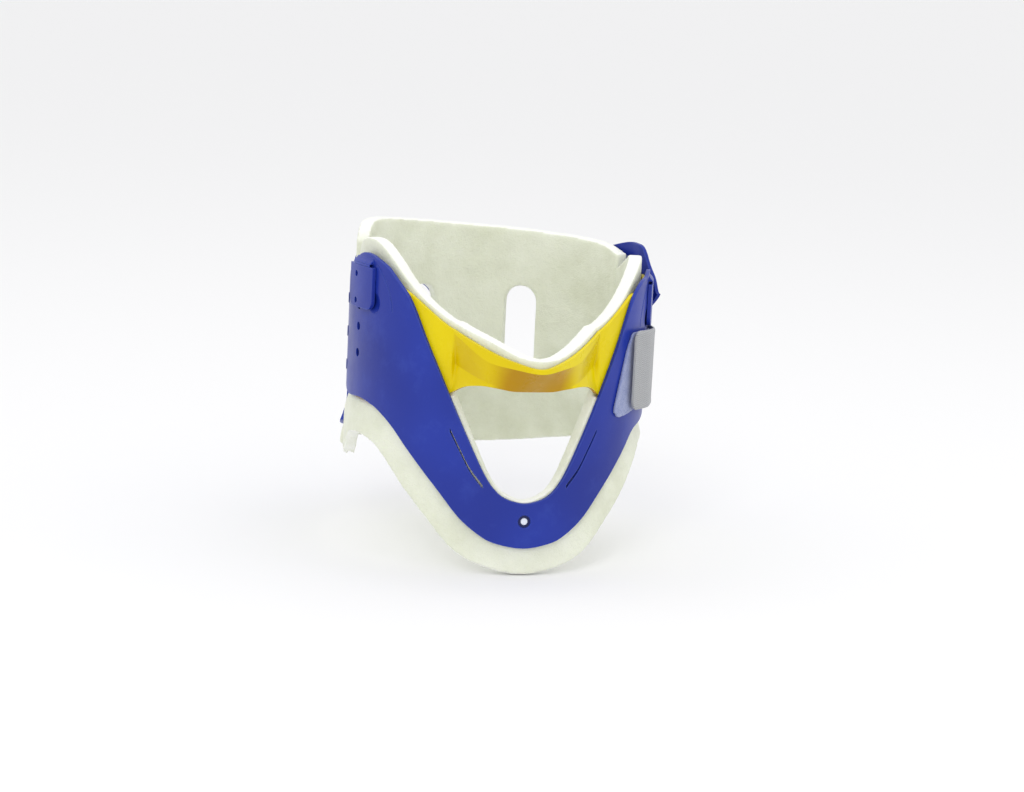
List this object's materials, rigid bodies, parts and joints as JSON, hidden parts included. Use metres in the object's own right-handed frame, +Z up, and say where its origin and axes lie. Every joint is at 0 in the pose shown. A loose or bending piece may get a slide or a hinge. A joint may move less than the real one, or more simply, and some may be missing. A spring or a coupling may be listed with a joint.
{
  "type": "adjustable cervical collar",
  "caption": "Rigid adjustable neck collar: front shell with throat opening, sliding chin support, hinged rear panel, foam liners and hook-and-loop strap.",
  "frame": {"origin": "on the neck axis, level with the arches of the front shell's lower edge over the shoulders", "axes": "+Z up along the neck, -Y to the front (chin), +X to the wearer's left; the collar is closed and at its lowest chin setting"},
  "size_m": [0.1708, 0.1971, 0.169],
  "materials": {
    "shell_blue": "satin",
    "chin_yellow": "satin",
    "foam": "matte",
    "loop_pile": "matte",
    "strap_grey": "matte",
    "hook_tape": "matte",
    "eyelet_dark": "matte",
    "pin_white": "gloss",
    "rivet_blue": "satin"
  },
  "bodies": {
    "front": {"front_shell": "shell_blue", "body_pad": "foam", "loop_patch": "loop_pile", "chest_eyelet": "eyelet_dark", "chest_pin": "pin_white", "lock_web_right": "shell_blue", "lock_web_left": "shell_blue", "rear_flap": "shell_blue", "rear_hinge_web": "shell_blue", "flap_rivet_low": "rivet_blue", "flap_rivet_mid": "rivet_blue", "flap_rivet_high": "rivet_blue"},
    "chin": {"chin_support": "chin_yellow", "chin_pad": "foam"},
    "lock_right": {"lock_tab_right": "shell_blue"},
    "lock_left": {"lock_tab_left": "shell_blue"},
    "rear": {"rear_panel": "shell_blue", "rear_pad": "foam", "strap_anchor": "strap_grey", "strap_bend": "strap_grey", "strap_rivet_low": "rivet_blue", "strap_rivet_high": "rivet_blue"},
    "strap": {"strap_band": "strap_grey", "strap_hook_strip": "hook_tape"}
  },
  "joints": [
    {"name": "chin_height", "type": "slide", "parent": "front", "child": "chin", "axis": [0, 0, 1], "range_m": [0, 0.042]},
    {"name": "lock_right_open", "type": "hinge", "parent": "front", "child": "lock_right", "pos_m": [-0.07952, -0.01874, 0.0725], "axis": [-0.2357, 0.9718, 0], "range_deg": [0, 95], "deforming": ["lock_web_right"]},
    {"name": "lock_left_open", "type": "hinge", "parent": "front", "child": "lock_left", "pos_m": [0.07952, -0.01874, 0.0665], "axis": [-0.2357, -0.9718, 0], "range_deg": [0, 95], "deforming": ["lock_web_left"]},
    {"name": "rear_open", "type": "hinge", "parent": "front", "child": "rear", "pos_m": [-0.076, 0.02158, 0.032], "axis": [0, 0, 1], "range_deg": [0, 100], "deforming": ["rear_hinge_web"]},
    {"name": "strap_peel", "type": "hinge", "parent": "rear", "child": "strap", "pos_m": [0.08334, -0.00124, 0.019], "axis": [0, 0, 1], "range_deg": [0, 100], "deforming": ["strap_bend"]}
  ],
  "couplings": [
    {"joint": "strap_peel", "follows": "rear_open", "ratio": 1}
  ]
}
